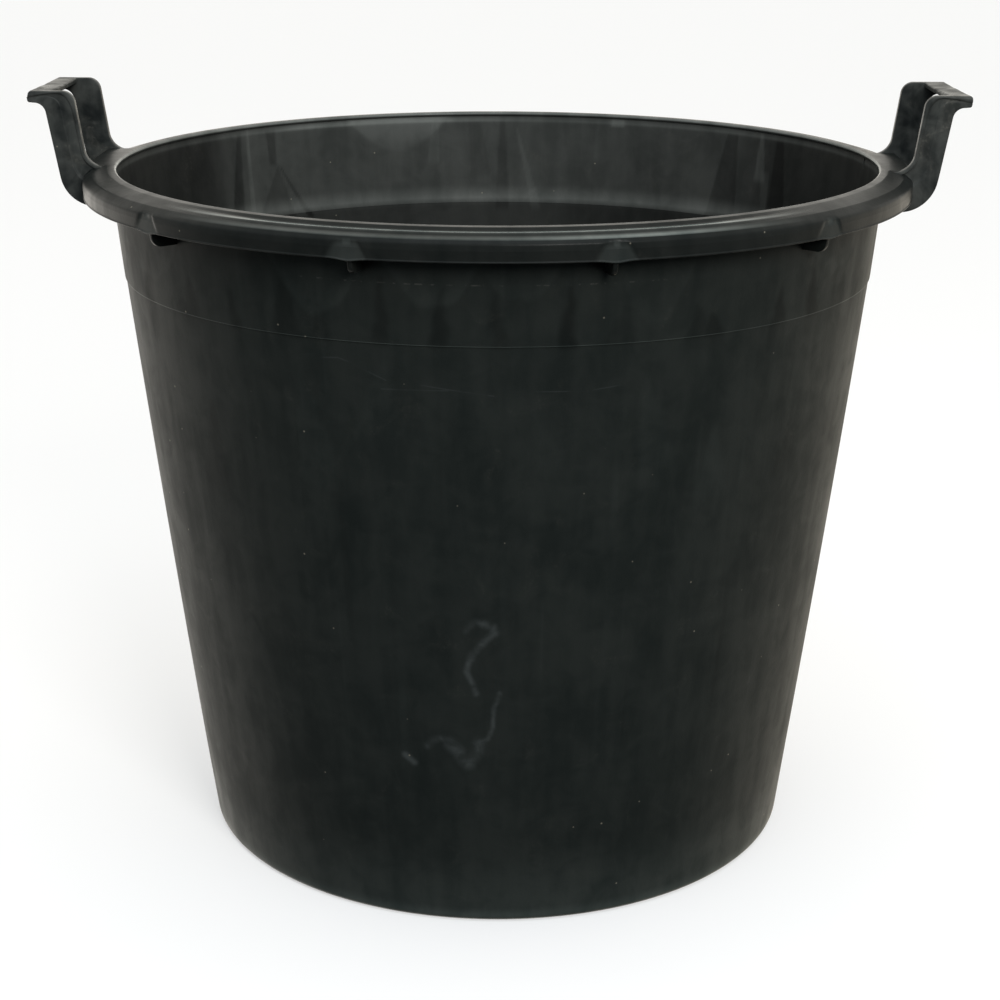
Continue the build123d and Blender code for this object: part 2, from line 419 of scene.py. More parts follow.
# Streaks on the inside: degrees, top, bottom, half width at top and bottom, lean of the bottom, tone
INSIDE_STREAKS = [
    (140.0, 503, 426, 1.0, 3.0, 2.0, 0.8),
    (142.0, 498, 426, 2.0, 7.0, 10.0, -0.75),
    (135.0, 499, 470, 5.0, 3.0, 0.0, -0.75),
    (134.0, 468, 424, 0.5, 20.0, 6.0, -0.5),
    (133.5, 467, 424, 0.5, 3.0, -26.0, -0.8),
    (103.0, 500, 462, 3.0, 5.0, 3.0, 0.5),
    (96.0, 497, 450, 5.0, 9.0, -5.0, -0.35),
    (91.0, 500, 424, 2.0, 6.0, 0.0, -0.55),
    (88.5, 492, 424, 0.6, 4.0, -18.0, 0.6),
    (73.6, 500, 466, 1.2, 2.0, 1.0, 0.3),
    (70.0, 500, 495, 6.0, 6.0, 0.0, 1.3),
    (47.0, 498, 424, 5.0, 16.0, 6.0, -0.6),
    (40.5, 500, 462, 1.5, 6.0, -2.0, 0.9),
    (39.0, 470, 424, 5.0, 1.5, -4.0, 0.5),
    (36.0, 497, 424, 4.0, 12.0, -4.0, -0.35),
]


INSIDE_TONE = 0.3
# Broad painted shade on the inside, where less light falls: the degrees at which one starts and is
# full, and its tone
INSIDE_PAINTED_SHADES = [(139, 152, -1.35), (88, 60, -0.45), (50, 34, -0.9)]
# Painted highlights inside: on the ledge above the ring, and on the lip under the crown
LEDGE_HIGHLIGHT = 1.8
LIP_HIGHLIGHT = 2.2
# A large pale bowl under the lip: its middle and half width in degrees, depth, rise and tone
LIP_BOWL_TURN = 110
LIP_BOWL_HALF = 9
LIP_BOWL_DEPTH = 30
LIP_BOWL_RISE = 26
LIP_BOWL_PALER = 1.1


def turned(angle, centre):
    """The signed angle from a centre, between half turns."""
    return (angle - centre + pi) % (2 * pi) - pi


def flame(angle, z, centre, drop, height, half, lean):
    """How strongly a point lies in a mark that narrows upwards from its foot, from 0 to 1."""
    rise = (z - (RING - drop)) / height
    side = turned(angle, centre) * wall_radius(RING) - lean * rise
    side = side + 0.8 * np.sin(z / 5.3 + 9 * centre) + 0.4 * np.sin(z / 2.1 + 17 * centre)
    width = half * np.clip(1 - rise, 0, 1) ** FLAME_TAPER
    body = 1 - smooth(width - FLAME_EDGE[0], width + FLAME_EDGE[1], np.abs(side))
    return body * smooth(-0.4, 0.1, rise) * (1 - smooth(0.9, 1.05, rise))


def foot_tone(z):
    """Painted light from the floor, with some dust: the outside gets paler towards the floor."""
    return sum(paler * (1 - smooth(0, top, z)) for paler, top in FOOT_LIGHT_AND_DUST)


def outside_tone(angle, z):
    """How much paler or darker the outside of the wall is."""
    tone = np.zeros(angle.shape)
    for *shape, dark in flames:
        tone = np.minimum(tone, -dark * flame(angle, z, *shape))
    tone[z < RING] *= FLAME_BELOW_RING
    for *shape, dark in tongues:
        tone -= TONGUE_STRENGTH * dark * flame(angle, z, *shape)
    for centre, lift, half, light in bowls:
        side = turned(angle, centre) * wall_radius(RING)
        above = z - (RING + lift) - BOWL_RISE * (side / half) ** 2
        above = above + 1.6 * np.sin(side / 3.7 + 5 * centre)
        edged = light * smooth(-1.5, 2.5, above) * (1 - 0.6 * smooth(2, 16, above))
        tone += edged * (np.abs(side) < 2 * half)
    for centre, half, level, start, length in streaks:
        side = np.abs(turned(angle, centre)) * wall_radius(RING)
        run_length = smooth(start - length, start, z) * (1 - smooth(start, start + length, z))
        tone += level * (1 - smooth(half * 0.4, half, side)) * run_length
    # Painted shade under the hem, in the corner beside each gusset
    away, _ = gusset_offsets(angle)
    corner = -np.sign(np.cos(angle)) * away
    depth = GUSSET_SHADE_DEPTH * np.clip(1 - corner / GUSSET_SHADE_REACH, 0, 1)
    painted_shade = smooth(-1.0, 0.5, corner) * smooth(HEM - depth - 4, HEM - depth + 3, z)
    painted_shade = painted_shade * (corner < GUSSET_SHADE_REACH)
    return MARK_STRENGTH * tone + foot_tone(z) - GUSSET_SHADE * painted_shade


def inside_tone(angle, z):
    """How much paler or darker the inside of the wall is."""
    turn = np.degrees(angle)
    tone = INSIDE_TONE - 1.0 * (z <= RING)
    # Painted shade inside, where less light falls
    for start, full, level in INSIDE_PAINTED_SHADES:
        tone = tone + level * smooth(start, full, turn)
    for degrees_round, top, bottom, half_top, half_bottom, lean, level in INSIDE_STREAKS:
        share = (top - z) / (top - bottom)
        side = turned(angle, radians(degrees_round)) * wall_radius(RING) - lean * share
        half = half_top + (half_bottom - half_top) * np.clip(share, 0, 1)
        on = 1 - smooth(half - 0.8, half + 1.0, np.abs(side))
        tone = tone + level * on * smooth(-0.05, 0.05, share) * (1 - smooth(0.92, 1.08, share))
    # Painted highlights on the ledge and the lip, where light falls on them
    lit = smooth(RING, RING + 4, z) * (1 - smooth(RING + 5, RING + 16, z))
    lip = smooth(WALL_END - 6.2, WALL_END - 4.8, z)
    lip = lip * (1 - smooth(WALL_END - 2.4, WALL_END - 1.4, z))
    lip = lip * (0.6 + 1.5 * smooth(84, 112, turn) * (1 - smooth(122, 140, turn)))
    bowl = z - WALL_END + LIP_BOWL_DEPTH
    bowl = bowl - LIP_BOWL_RISE * ((turn - LIP_BOWL_TURN) / LIP_BOWL_HALF) ** 2
    crest = smooth(0, 5, bowl) * (0.35 + 0.65 * smooth(WALL_END - 26, WALL_END - 8, z))
    return tone + LEDGE_HIGHLIGHT * lit + LIP_HIGHLIGHT * lip + LIP_BOWL_PALER * crest


def store(obj, name, values):
    """Stores a number for each vertex, for the materials to read."""
    attribute = obj.data.attributes.new(name, "FLOAT", "POINT")
    attribute.data.foreach_set("value", np.asarray(values).ravel().astype(np.float32))


def add_tones(obj, angle, r, z):
    """Stores each vertex's tone, and how far it is on the inside."""
    within = 1 - smooth(0.3, 0.7, (r - wall_radius(z) + WALL) / WALL)
    within = within * (z > FLOOR_LIFT)
    tone = np.where(within > 0.5, inside_tone(angle % (2 * pi), z), outside_tone(angle, z))
    # Painted highlight along the upper edge of the ring's step
    step_highlight = (r > wall_radius(z) + RING_STEP / 2) * (z > RING + 0.05) * (z < RING + 0.5)
    tone = np.clip(tone, TONE_LOWEST, TONE_HIGHEST) + STEP_HIGHLIGHT * step_highlight
    store(obj, "tone", tone)
    store(obj, "within", within)


def wall_ring(name, node, bottom, top, spacing, step_bottom=0.0, edge=0.0, ledge_edge=0.0):
    """A band of the wall between two heights. Its lower edge may stand out by a step."""
    count = int(round((top - bottom) / spacing)) + 1
    heights = np.linspace(bottom, top, count)
    stand = step_bottom * (1 - (heights - bottom) / (top - bottom))
    outer = np.stack([wall_radius(heights) + stand, heights], axis=1)
    inner_heights = np.concatenate([heights[:1] + 0.01, heights[1:]]) if step_bottom else heights
    inner = np.stack([inner_radius(inner_heights), inner_heights], axis=1)[::-1]
    if edge:
        r, z = outer[0]
        bevel = edge * 0.3
        rounding = np.array([(r - edge, z), (r - bevel, z + bevel), (r, z + edge), (r, z + 2 * edge)])
        outer = np.concatenate([rounding, outer[1:]])
    if ledge_edge:
        r, z = inner[0]
        bevel = ledge_edge * 0.3
        rounding = np.array([(r + ledge_edge, z), (r + bevel, z - bevel), (r, z - ledge_edge)])
        inner = np.concatenate([rounding, inner[1:]])
    across_top = run(outer[-1], inner[0], WALL / 2)[1:]
    across_bottom = run(inner[-1], outer[0], WALL / 2)[1:]
    points = np.concatenate([outer, across_top, inner, across_bottom])
    obj = lathe(name, node, points, WALL_SEGMENTS, wall_form)
    add_tones(obj, *round_grid(points, WALL_SEGMENTS))
    return obj


def floor_plate():
    """The floor as rings round a centre vertex, with the gate's stub below."""
    radii = np.linspace(FLOOR_RADIUS, 8.0, 60)
    top = [(r, FLOOR_TOP - FLOOR_SAG * np.exp(-((r / 16) ** 2))) for r in radii]
    top.append((4.0, FLOOR_TOP - FLOOR_SAG))
    bottom = [
        (GATE_RADIUS - 1, FLOOR_LIFT - GATE_DEPTH),
        (GATE_RADIUS, FLOOR_LIFT - GATE_DEPTH + 0.4),
        (GATE_RADIUS + 0.1, FLOOR_LIFT - 0.3),
        (GATE_RADIUS + 0.6, FLOOR_LIFT),
    ]
    bottom += [(r, FLOOR_LIFT) for r in radii[::-1]]
    profile = np.array(top + bottom)
    a, r, z = round_grid(profile, FLOOR_SEGMENTS)
    vertices = np.stack([r * np.cos(a), r * np.sin(a), z], axis=-1).reshape(-1, 3)
    columns = len(profile)
    faces = grid_faces(FLOOR_SEGMENTS, columns, True, True)
    joined = len(top) - 1
    faces = faces[~((faces[:, 0] % columns == joined) & (faces[:, 1] % columns == joined + 1))]
    centres = [[0, 0, FLOOR_TOP - FLOOR_SAG], [0, 0, FLOOR_LIFT - GATE_DEPTH]]
    vertices = np.concatenate([vertices, centres])
    caps = []
    for i in range(FLOOR_SEGMENTS):
        j = (i + 1) % FLOOR_SEGMENTS
        caps.append((i * columns + joined, j * columns + joined, len(vertices) - 2))
        caps.append((j * columns + joined + 1, i * columns + joined + 1, len(vertices) - 1))
    obj = piece("tub_floor_plate", vertices, [*faces.tolist(), *caps], "tub_floor")
    store(obj, "within", vertices[:, 2] > FLOOR_LIFT + 1)
    return obj


def base_ring():
    """The rounded corner and the foot that the tub stands on."""
    corners = [
        (FLOOR_RADIUS, 0.0, 1.0),
        (wall_radius(0.0), 0.0, 6.0),
        (wall_radius(SEAM), SEAM, 0.0),
        (wall_radius(SEAM) - WALL, SEAM, 0.0),
        (wall_radius(FLOOR_TOP) - WALL, FLOOR_TOP, 4.0),
        (FLOOR_RADIUS, FLOOR_TOP, 0.0),
    ]
    points = outline(corners, 2.0, 8.0)
    obj = lathe("tub_base_ring", "base_ring", points, WALL_SEGMENTS, wall_form)
    outside = smooth(wall_radius(0.0) - 4.0, wall_radius(0.0) - 0.5, points[:, 0])
    # Painted light from the floor, with some dust, on the foot
    tone = foot_tone(points[:, 1]) * outside
    store(obj, "tone", np.broadcast_to(tone, (WALL_SEGMENTS, len(points))))
    return obj


def rim_piece(name, node, points, side_points, pad_points):
    """A part of the rim from matching outlines: its usual one, the one at the sides and the pad's."""
    def form(angle, r, z):
        r = r + (side_points[None, :, 0] - r) * at_side(angle)
        z = z + (side_points[None, :, 1] - z) * at_side(angle)
        return rim_form(angle, r, z, pad_points[None, :, 0], pad_points[None, :, 1])

    obj = lathe(name, node, points, RIM_SEGMENTS, form)
    angle, r, z = round_grid(points, RIM_SEGMENTS)
    at_mouth = 1 - smooth(CROWN_INNER + 0.8, CROWN_INNER + 2.0, r)
    # Painted highlight and wear on the mouth's rounded edge
    tone = MOUTH_HIGHLIGHT_AND_WEAR * at_mouth * smooth(*MOUTH_EDGE_HEIGHTS, z)
    # Painted highlights along the terraces at the front and rear, brightest at one painted glint
    terraced = (z > HIGHLIGHT_LINES_ABOVE) * (1 - at_side(angle))
    glint = np.exp(-((turned(angle, GLINT_TURN) / GLINT_HALF) ** 2))
    for radius, width, level, gain in HIGHLIGHT_LINES:
        paler = level * (1 + gain * glint)
        tone = tone + paler * terraced * np.exp(-(((r - radius) / width) ** 2))
    # Painted highlight on the facets, notches and dips
    _, _, painted_highlight = drawn_facets(angle, z)
    tone = tone + painted_highlight * smooth(*SLOPE, r)
    store(obj, "within", at_mouth)
    store(obj, "tone", tone)
    return obj


def drawn_in(points):
    """Rim outline points moved in to the straight edge between a handle's legs."""
    shift = (RIM_RADIUS - PAD_EDGE) * np.clip((points[:, 0] - DRAWN_START) / DRAWN_WIDTH, 0, 1)
    return np.stack([points[:, 0] - shift, points[:, 1]], axis=1)


def lengths_along(points):
    """The length of a path up to each of its points."""
    return np.concatenate([[0], np.cumsum(np.linalg.norm(np.diff(points, axis=0), axis=1))])


def redrawn(points, others, path):
    """Outline points whose upper run, from the level crown to the skirt, follows another path."""
    start = int(np.argmin(np.hypot(points[:, 0] - (CROWN_OUTER - 2.0), points[:, 1] - RIM_TOP)))
    end = int(np.argmin(np.hypot(points[:, 0] - RIM_RADIUS, points[:, 1] - SKIRT_JOINT)))
    path = np.concatenate([points[start:start + 1], path])
    along = lengths_along(points[start:end + 1])
    path_along = lengths_along(path)
    share = along / along[-1] * path_along[-1]
    moved = others.copy()
    moved[start:end + 1, 0] = np.interp(share, path_along, path[:, 0])
    moved[start:end + 1, 1] = np.interp(share, path_along, path[:, 1])
    return moved


def pad_outline(points):
    """Between a handle's legs the slope and shoulder of the crown give way to a level pad."""
    level = RIM_TOP - 0.35
    corner = fillet((CROWN_OUTER, level), (PAD_EDGE, level), (PAD_EDGE, SKIRT_JOINT), 1.5, 5)
    return redrawn(points, drawn_in(points), np.concatenate([corner, [(PAD_EDGE, SKIRT_JOINT)]]))


def side_outline(points):
    """Near the handles the terraces of the crown run out into one slope with a crisp crease."""
    slope = (CROWN_OUTER - 0.5, RIM_TOP - 0.5)
    crease = (CROWN_OUTER + 10.6, RIM_TOP - 3.6)
    shoulder = (RIM_RADIUS - 0.4, RIM_TOP - 8.0)
    foot = (RIM_RADIUS, SKIRT_JOINT)
    path = np.concatenate([
        fillet((CROWN_INNER, RIM_TOP - 0.3), slope, crease, 6.0, 5),
        fillet(slope, crease, shoulder, 0.8, 4),
        fillet(crease, shoulder, foot, 3.0, 7),
        [foot],
    ])
    return redrawn(points, points, path)


def rim_crown():
    """The level crown, two low terraces on its outward slope, and the shoulder."""
    under = RIM_TOP - 3.6
    corners = [
        (CROWN_INNER, under, MOUTH_EDGE),
        (CROWN_INNER, RIM_TOP - 0.3, MOUTH_EDGE),
        (CROWN_OUTER - 0.6, RIM_TOP - 0.5, 1.2),
        (CROWN_OUTER + 2.0, RIM_TOP - 2.3, 1.2),
        (CROWN_OUTER + 8.0, RIM_TOP - 2.25, 0.8),
        (CROWN_OUTER + 10.4, RIM_TOP - 3.8, 1.2),
        (RIM_RADIUS - 2.2, RIM_TOP - 5.3, 2.0),
        (RIM_RADIUS - 0.2, RIM_TOP - 8.0, 2.5),
        (RIM_RADIUS, SKIRT_JOINT, 0.0),
        (RIM_RADIUS - 3.0, SKIRT_JOINT, 0.0),
        (RIM_RADIUS - 3.6, RIM_TOP - 9.2, 2.5),
        (CROWN_OUTER + 1.0, under - 1.5, 5.0),
    ]
    points = outline(corners, 1.0, 9.0)
    return rim_piece("tub_rim_crown", "rim_crown", points, side_outline(points), pad_outline(points))


def rim_skirt():
    """The upright skirt, with a small lip at the hem."""
    bottom = HEM - 0.9
    corners = [
        (RIM_RADIUS - 3.0, SKIRT_JOINT, 0.0),
        (RIM_RADIUS, SKIRT_JOINT, 0.0),
        (RIM_RADIUS - 0.4, bottom + 1.5, 0.6),
        (RIM_RADIUS - 0.35, bottom + 1.05, 0.1),
        (RIM_RADIUS + 0.05, bottom + 0.65, 0.25),
        (RIM_RADIUS, bottom, 0.35),
        (RIM_RADIUS - 2.8, bottom, 0.7),
    ]
    points = outline(corners, 1.0, 15.0)
    return rim_piece("tub_rim_skirt", "rim_skirt", points, points, drawn_in(points))


def gusset(name, node, angle):
    """A rounded plate between the wall, the crown and the skirt."""
    inner = wall_radius(GUSSET_BOTTOM) - WALL / 2
    reach = RIM_RADIUS - 4.0
    under = RIM_TOP - 2.5
    corners = [
        (inner, GUSSET_BOTTOM, 0.0),
        (reach, GUSSET_BOTTOM, 7.0),
        (RIM_RADIUS - 1.8, RIM_TOP - 9.5, 0.0),
        (CROWN_OUTER, under, 0.0),
        (wall_radius(WALL_END) - WALL / 2, under, 0.0),
    ]
    rings = []
    for a in np.linspace(0, pi / 2, 4):
        inward = GUSSET_EDGE * (1 - np.sin(a))
        rings.append((inward, -GUSSET_HALF + GUSSET_EDGE * (1 - np.cos(a))))
    rings += [(inward, -side) for inward, side in rings[::-1]]
    loops = [outline(inset(corners, inward) if inward > 0 else corners) for inward, _ in rings]
    vertices = []
    turn = radians(angle)
    for loop, (_, side) in zip(loops, rings):
        x = loop[:, 0] * np.cos(turn) - side * np.sin(turn)
        y = loop[:, 0] * np.sin(turn) + side * np.cos(turn)
        vertices.append(np.stack([x, y, loop[:, 1]], axis=1))
    faces = bar_faces(len(rings), len(loops[0]))
    return piece(name, np.concatenate(vertices), faces, node)


# --- Handles ---

LEG_ROOT = 272.8
LEG_ROOT_TOP = 275.8
# The corners of a leg's edges, and how far inward the edges lean for each millimetre down
GRIP_LIP = HANDLE_TOP - 8.0
KNEE = HANDLE_TOP - 8.6
NECK = RIM_TOP - 1.5
OUTER_KNEE = 321.9
INNER_TOP = 301.8
LEAN_OUT = 0.168
LEAN_IN = 0.14
LADDER_RUNS = (2, 22, 40, 10)
EDGE = 0.9
BEAD_WIDTH_TOP = 4.6
BEAD_WIDTH = 2.8
BEAD_HEIGHT = 1.0
STRIP_HEIGHT = 0.45
POCKET_DEPTH = 0.7
# How far out each leg's inner and outer edges are set at the top, by side and end
LEG_SETS = {(-1, -1): (-1.0, 0.0), (-1, 1): (0.0, 0.0), (1, -1): (0.9, 0.8), (1, 1): (-2.1, -2.1)}
WEB_FACE = LEG_OUTER_FACE - BEAD_HEIGHT
GRIP_STATIONS = 75
GRIP_SAG = 0.25
PIT_RADIUS = (GRIP_INNER + GRIP_OUTER) / 2 + 3.5
PIT_Y = -25.0
PIT_SIZE = 2.2
PIT_DEPTH = 0.9


def leg_ladder():
    """Matched points along the leg's inner and outer edges, from the tip to the wall."""
    a_tip, a_top = (GRIP_OUTER, HANDLE_TOP), (INNER_TOP, HANDLE_TOP)
    a_neck = (INNER_TOP - LEAN_IN * (HANDLE_TOP - NECK), NECK)
    a_end = (LEG_ROOT_TOP, NECK)
    b_tip, b_knee = (GRIP_OUTER, GRIP_LIP), (OUTER_KNEE, KNEE)
    b_low = (OUTER_KNEE - LEAN_OUT * (KNEE - GUSSET_BOTTOM), GUSSET_BOTTOM)
    b_end = (LEG_ROOT, GUSSET_BOTTOM)
    middle = (HANDLE_TOP + GRIP_LIP) / 2
    a_arcs = [
        fillet((GRIP_OUTER, middle), a_tip, a_top, 2.0, 6),
        fillet(a_tip, a_top, a_neck, 9.0, 22),
        fillet(a_top, a_neck, a_end, 14.0, 22),
    ]
    b_arcs = [
        fillet((GRIP_OUTER, middle), b_tip, b_knee, 1.6, 6),
        fillet(b_tip, b_knee, b_low, 8.0, 22),
        fillet(b_knee, b_low, b_end, 25.0, 22),
    ]

    def joined(start, arcs, end):
        points = []
        at = np.array(start, float)
        for arc, count in zip([*arcs, np.array([end], float)], LADDER_RUNS):
            shares = np.linspace(0, 1, count, endpoint=False)[:, None]
            points += [at + (arc[0] - at) * shares, arc[:-1]]
            at = arc[-1]
        return np.concatenate([*points, at[None]])

    inner = joined((GRIP_OUTER, middle + 0.4), a_arcs, a_end)
    outer = joined((GRIP_OUTER, middle - 0.4), b_arcs, b_end)
    return inner, outer


def leg(name, node, side, end):
    """One leg: side is +1 for the right handle, end is -1 for its front leg."""
    inner, outer = leg_ladder()
    for edge_line, shift in zip((inner, outer), LEG_SETS[(side, end)]):
        edge_line[:, 0] += shift * smooth(GUSSET_BOTTOM, RIM_TOP - 2, edge_line[:, 1])
    rungs = len(inner)
    length = np.linalg.norm(outer - inner, axis=1)
    along = (outer - inner) / length[:, None]
    edge = np.minimum(EDGE, 0.3 * length)
    widening = smooth(HANDLE_TOP - 14, HANDLE_TOP - 2, inner[:, 1])
    bead = BEAD_WIDTH + (BEAD_WIDTH_TOP - BEAD_WIDTH) * widening
    bead = np.minimum(bead, 0.62 * length)
    ridge = np.maximum(0.48 * length, bead + 0.25 * (length - bead))
    spans = [
        (edge, bead - 0.8, 4),
        (bead - 0.65, bead + 0.15, 6),
        (bead + 0.3, ridge - 0.8, 9),
        (ridge - 0.6, ridge + 0.6, 6),
        (ridge + 0.8, length - edge, 10),
    ]
    columns = []
    for start, stop, count in spans:
        start = np.minimum(start, stop)
        for t in np.linspace(0, 1, count):
            columns.append(start + (stop - start) * t)
    d = np.sort(np.stack(columns, axis=1), axis=1)
    z = inner[:, 1:] + along[:, 1:] * d
    on_bead = 1 - smooth(bead[:, None] - 0.6, bead[:, None] + 0.1, d)
    rounded = smooth(HANDLE_TOP - 12, HANDLE_TOP - 2, inner[:, 1])[:, None]
    across = np.clip((d - bead[:, None] / 2) / (bead[:, None] / 2), -1, 1)
    crest = 1 - (0.1 + 0.75 * rounded) * across ** 2
    strip = smooth(ridge[:, None] - 0.5, ridge[:, None] + 0.5, d) * smooth(9, 16, length)[:, None]
    pocket = smooth(HEM + 0.9, HEM + 1.5, z) * (1 - smooth(RIM_TOP + 1, RIM_TOP + 8, z))
    pocket = pocket * (1 - smooth(ridge[:, None] - 1.2, ridge[:, None] - 0.4, d))
    y = WEB_FACE + BEAD_HEIGHT * on_bead * crest
    y = y + STRIP_HEIGHT * strip - POCKET_DEPTH * pocket * (1 - on_bead)
    rounding = []
    for a in np.linspace(0, pi / 2, 5):
        rounding.append((edge * (1 - np.sin(a)), edge * (1 - np.cos(a))))
    ring = [(length - p, y[:, -1] - q) for p, q in rounding[1:]]
    ring += [(length - p, LEG_INNER_FACE + q) for p, q in rounding[::-1]]
    for t in np.linspace(0, 1, 10)[1:-1]:
        ring.append((length - edge - (length - 2 * edge) * t, np.full(rungs, LEG_INNER_FACE)))
    ring += [(p, LEG_INNER_FACE + q) for p, q in rounding]
    ring += [(p, y[:, 0] - q) for p, q in rounding[:0:-1]]
    d = np.concatenate([d, np.stack([p for p, _ in ring], axis=1)], axis=1)
    y = np.concatenate([y, np.stack([q for _, q in ring], axis=1)], axis=1)
    position = inner[:, None] + along[:, None] * d[..., None]
    vertices = np.stack([side * position[..., 0], end * y, position[..., 1]], axis=-1)
    return piece(name, vertices.reshape(-1, 3), bar_faces(*d.shape), node, sharp=40.0)


def grip(name, node, side):
    """The strap between the legs, with its outer edge turned down. The left one has a pit."""
    under = HANDLE_TOP - 3.8
    corners = [
        (GRIP_INNER, HANDLE_TOP, 1.2),
        (GRIP_OUTER, HANDLE_TOP, 2.0),
        (GRIP_OUTER, GRIP_LIP, 1.4),
        (GRIP_OUTER - 3.6, GRIP_LIP, 1.4),
        (GRIP_OUTER - 3.6, under, 2.0),
        (GRIP_INNER, under, 1.2),
    ]
    profile = outline(corners, 1.5, 12.0)
    ends = LEG_INNER_FACE + 1.2
    stations = np.linspace(-ends, ends, GRIP_STATIONS)
    y, x = np.meshgrid(stations, profile[:, 0], indexing="ij")
    z = np.broadcast_to(profile[:, 1], y.shape)
    wave = 0.12 * np.sin(y / 7.0 + 2.0 * side) + 0.08 * np.sin(y / 3.7 + side)
    middle = 1 - (y / LEG_INNER_FACE) ** 2
    z = z + (wave - GRIP_SAG) * np.clip(middle, 0, 1) - 0.03
    if side < 0:
        away = np.hypot(x - PIT_RADIUS, y - PIT_Y)
        pit = PIT_DEPTH * np.exp(-((away / PIT_SIZE) ** 2))
        z = z - pit * smooth(HANDLE_TOP - 2.5, HANDLE_TOP - 1.0, z)
    front_shift, rear_shift = (sum(LEG_SETS[(side, end)]) / 2 for end in (-1, 1))
    x = x + front_shift + (rear_shift - front_shift) * (y / LEG_INNER_FACE + 1) / 2
    vertices = np.stack([side * x, y, z], axis=-1).reshape(-1, 3)
    return piece(name, vertices, bar_faces(*x.shape), node, sharp=40.0)


WALL_PIECES = ("tub_lower_wall", "tub_upper_wall", "tub_base_ring", "tub_floor_plate")
tub_pieces = [
    floor_plate(),
    base_ring(),
    wall_ring("tub_lower_wall", "lower_wall", SEAM, RING, 3.0, ledge_edge=0.6),
    wall_ring("tub_upper_wall", "upper_wall", RING, WALL_END, 2.0, RING_STEP, 0.35),
    rim_crown(),
    rim_skirt(),
]
for place, step in GUSSET_ANGLES.items():
    tub_pieces.append(gusset(f"gusset_front_{place}", f"front_{place}_gusset", -90 + step))
    tub_pieces.append(gusset(f"gusset_rear_{place}", f"rear_{place}_gusset", 90 - step))
for side_name, side in (("left", -1), ("right", 1)):
    tub_pieces.append(leg(f"handle_{side_name}_front_leg", f"{side_name}_handle_front_leg", side, -1))
    tub_pieces.append(leg(f"handle_{side_name}_rear_leg", f"{side_name}_handle_rear_leg", side, 1))
    tub_pieces.append(grip(f"handle_{side_name}_grip", f"{side_name}_handle_grip", side))


# --- Materials ---

# Where the mix node keeps its colour sockets
COLOUR_A = 6
COLOUR_B = 7
COLOUR_RESULT = 2


def new_material(name):
    """A material, its node tree and its shader."""
    material = bpy.data.materials.new(name)
    material.use_nodes = True
    return material, material.node_tree, material.node_tree.nodes["Principled BSDF"]


def add(tree, kind, inputs=None, **settings):
    """A shader node. Each input is a socket to link from, or a plain value."""
    node = tree.nodes.new(kind)
    for key, value in settings.items():
        setattr(node, key, value)
    for key, value in (inputs or {}).items():
        if isinstance(value, bpy.types.NodeSocket):
            tree.links.new(value, node.inputs[key])
        else:
            node.inputs[key].default_value = value
    return node


def compute(tree, operation, *values, clamp=False):
    """A sum on numbers."""
    inputs = dict(enumerate(values))
    return add(tree, "ShaderNodeMath", inputs, operation=operation, use_clamp=clamp).outputs[0]


def times(tree, first, second):
    return compute(tree, "MULTIPLY", first, second)


def vector(tree, operation, *values, result="Vector"):
    """A sum on vectors."""
    inputs = dict(enumerate(values))
    return add(tree, "ShaderNodeVectorMath", inputs, operation=operation).outputs[result]


def scaled(tree, value, scale):
    """A vector times a number."""
    return add(tree, "ShaderNodeVectorMath", {0: value, "Scale": scale}, operation="SCALE").outputs[0]


def ramp(tree, value, start, end, low_value=0.0, high_value=1.0):
    """A smooth step of a value from one number to another."""
    inputs = {"Value": value, "From Min": start, "From Max": end}
    inputs |= {"To Min": low_value, "To Max": high_value}
    return add(tree, "ShaderNodeMapRange", inputs, interpolation_type="SMOOTHSTEP").outputs[0]


def noise(tree, place, scale, detail=3.0, distortion=0.0):
    """Noise with a number of patches in each metre."""
    inputs = {"Vector": place, "Scale": scale, "Detail": detail, "Distortion": distortion}
    return add(tree, "ShaderNodeTexNoise", inputs).outputs["Fac"]


def blend(tree, factor, first, second):
    """A colour between two colours."""
    inputs = {"Factor": factor, COLOUR_A: first, COLOUR_B: second}
    return add(tree, "ShaderNodeMix", inputs, data_type="RGBA").outputs[COLOUR_RESULT]


# Rubbed marks on the front: half width, and (distance round the wall, height) points
SCUFFS = [
    (4.2, [(-12, 231), (-9, 236), (-6, 238.5), (-1, 236.5)]),
    (5.6, [(-1, 236.5), (5, 234), (6, 230)]),
    (4.6, [(6, 230), (2, 226), (-4, 219), (-8, 213), (-10, 209)]),
    (4.0, [(-10, 209), (-12.5, 201), (-9, 193), (-6, 184)]),
    (4.8, [(-41, 142), (-36, 147), (-30, 148.5), (-24, 146), (-19, 139)]),
    (8.4, [(-25, 145), (-19, 139), (-15, 133), (-12, 130)]),
    (7.6, [(-13, 131), (-9, 135), (-5, 140), (-4, 146)]),
    (3.4, [(-4, 147), (2, 149.5), (5.5, 159), (6, 173.5), (10, 184)]),
    (4.8, [(-57, 133), (-51, 128)]),
]
SCRATCHES = [
    (0.8, [(-97, 415.5), (-86, 416.5), (-78, 414), (-70, 410), (-57, 404)]),
    (0.7, [(-36, 402), (6, 396)]),
    (0.6, [(-60, 398), (-20, 399)]),
    (0.6, [(20, 399), (60, 398), (84, 401)]),
]
SCUFF_RADIUS = 248.0
SCUFF_WOBBLE = 2.2
SCUFF_POWER = 1.35
# Dried splashes lie on a line round the front. On Y, in metres, they start and are full at these.
SPLASH_HEIGHT = 467.7
SPLASH_ENDS = (-0.24, -0.262)
# How much of each mark's colour shows, and that colour
SCUFF_LOOK = (0.42, (0.075, 0.085, 0.085, 1))
SCRATCH_LOOK = (0.3, (0.05, 0.056, 0.056, 1))
SPLASH_LOOK = (0.26, (0.10, 0.10, 0.09, 1))


